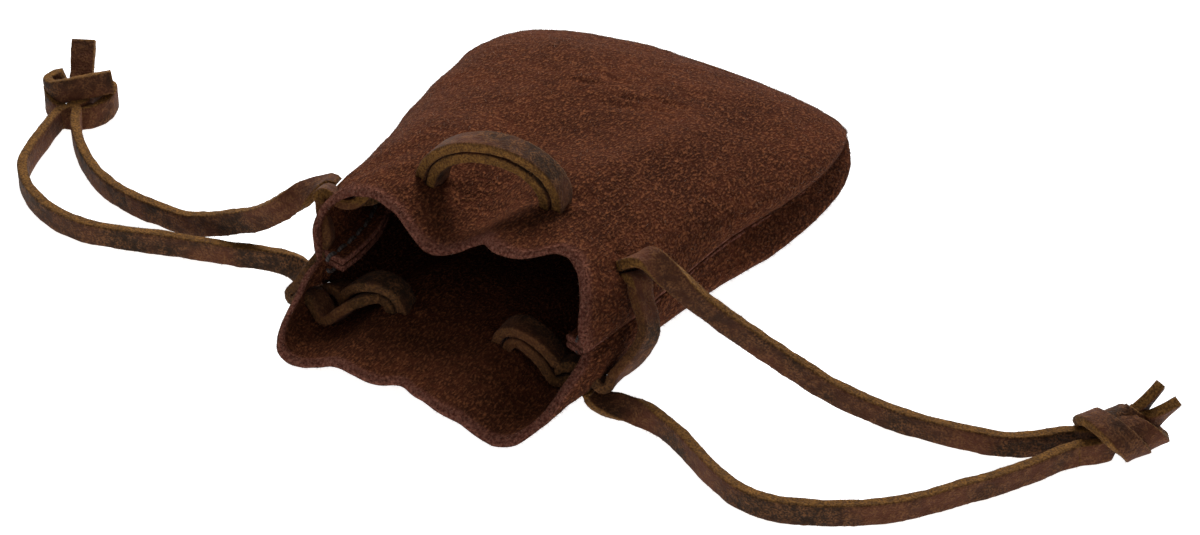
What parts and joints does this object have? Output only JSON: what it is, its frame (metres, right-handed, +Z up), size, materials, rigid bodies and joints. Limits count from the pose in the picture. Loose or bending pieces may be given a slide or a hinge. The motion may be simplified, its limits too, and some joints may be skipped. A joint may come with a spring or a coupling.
{
  "type": "suede drawstring pouch",
  "caption": "Small suede pouch lying on its back panel with its mouth open, gathered by knotted flat laces threaded through slits round the neck",
  "frame": {"origin": "on the table, under the middle of the pouch's own box, laces and knots left out", "axes": "+Z up from the table, +Y from the open mouth to the base seam, +X towards the side of the right lace's knot"},
  "size_m": [0.2569, 0.1194, 0.0422],
  "materials": {
    "suede": "napped brown split suede, soft and matt, with paler cut edges",
    "thread": "dark brown twisted polyester sewing thread",
    "lace": "oiled flat leather lace, dark faces and golden olive cut edges"
  },
  "bodies": {
    "pouch": {"front_panel": "suede", "back_panel": "suede", "seam_thread": "thread", "right_cord_loop": "lace", "left_cord_loop": "lace"},
    "right_pull": {"right_cord_knot": "lace", "right_cord_tail_upper": "lace", "right_cord_tail_lower": "lace"},
    "left_pull": {"left_cord_knot": "lace", "left_cord_tail_upper": "lace", "left_cord_tail_lower": "lace"}
  },
  "joints": [
    {"name": "right_cord_pull", "type": "slide", "parent": "pouch", "child": "right_pull", "axis": [1, 0, 0], "range_m": [0, 0.01], "deforming": ["right_cord_tail_upper", "right_cord_tail_lower"]},
    {"name": "left_cord_pull", "type": "slide", "parent": "pouch", "child": "left_pull", "axis": [-1, 0, 0], "range_m": [0, 0.01], "deforming": ["left_cord_tail_upper", "left_cord_tail_lower"]}
  ]
}
